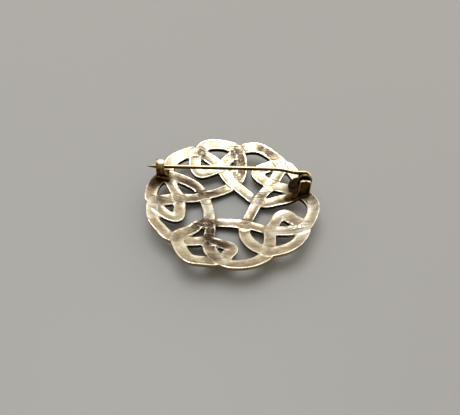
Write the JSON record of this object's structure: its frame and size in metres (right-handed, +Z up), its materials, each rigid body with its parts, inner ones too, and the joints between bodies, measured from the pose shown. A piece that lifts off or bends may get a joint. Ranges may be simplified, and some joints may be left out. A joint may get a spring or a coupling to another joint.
{
  "type": "round brooch",
  "caption": "Round openwork brooch cast as one endless woven band, lying on its front, with a hinged wire pin and a hook catch across its back.",
  "frame": {"origin": "on the surface the brooch lies on, under the middle of the knot", "axes": "+Z up, out of the back of the brooch; +X from the catch to the hinge, along the pin; +Y from the lower half of the back to the half that the pin crosses"},
  "size_m": [0.0411, 0.0394, 0.0096],
  "materials": {
    "cast_brass": "cast yellow alloy with a worn satin polish and a darker patina in the hollows",
    "dark_brass": "brass darkened by heat and age",
    "pin_wire": "drawn brass wire, worn smooth"
  },
  "bodies": {
    "brooch": {"knotwork": "cast_brass", "hinge_rivet": "dark_brass"},
    "pin": {"pin_stem": "pin_wire"}
  },
  "joints": [
    {"name": "pin_hinge", "type": "hinge", "parent": "brooch", "child": "pin", "pos_m": [0.0173, 0.00568, 0.00762], "axis": [0, 0.9781, -0.2079], "range_deg": [0, 100]}
  ]
}
